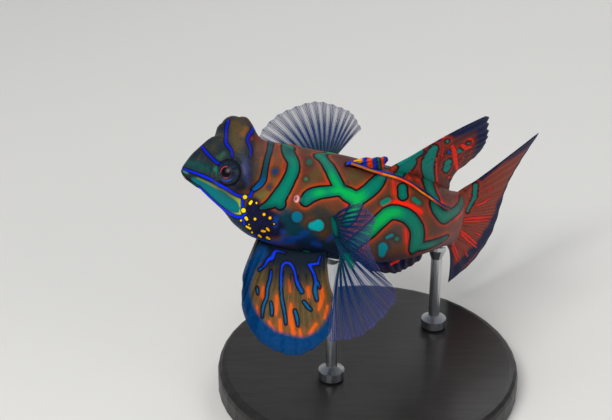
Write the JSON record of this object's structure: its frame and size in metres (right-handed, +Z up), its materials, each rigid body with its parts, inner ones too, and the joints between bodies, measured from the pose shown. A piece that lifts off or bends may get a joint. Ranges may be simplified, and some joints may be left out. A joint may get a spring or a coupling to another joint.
{
  "type": "mandarinfish display model",
  "caption": "Life-size still model of a mandarinfish with spread fins and a bent tail, held by a round stand on two short rods.",
  "frame": {"origin": "centre of the underside of the stand's base, on the surface it stands on", "axes": "+Z up; the fish heads towards -X with its left side towards -Y, and its tail bends away towards +Y"},
  "size_m": [0.0515, 0.0583, 0.0433],
  "materials": {
    "skin": "painted resin skin, orange-brown with green and blue bands, satin to wet gloss",
    "fin": "painted fin membrane with raised rays, brown with blue margins, satin",
    "fin_clear": "see-through fin membrane with thin blue rays, satin",
    "eye": "glass eye, dark blue round a black pupil, polished",
    "stand_base": "turned hardwood, stained near black, satin varnish",
    "stand_rod": "brushed"
  },
  "bodies": {
    "root": {"head": "skin", "torso": "skin", "rear_body": "skin", "tail_stalk": "skin", "eye_left": "eye", "eye_right": "eye", "fin_dorsal_first": "fin", "fin_dorsal_second": "fin", "fin_anal": "fin", "fin_caudal": "fin", "fin_pectoral_left": "fin_clear", "fin_pectoral_right": "fin_clear", "fin_pelvic_left": "fin", "fin_pelvic_right": "fin", "stand_base": "stand_base", "stand_rod_front": "stand_rod", "stand_rod_rear": "stand_rod"}
  },
  "joints": []
}
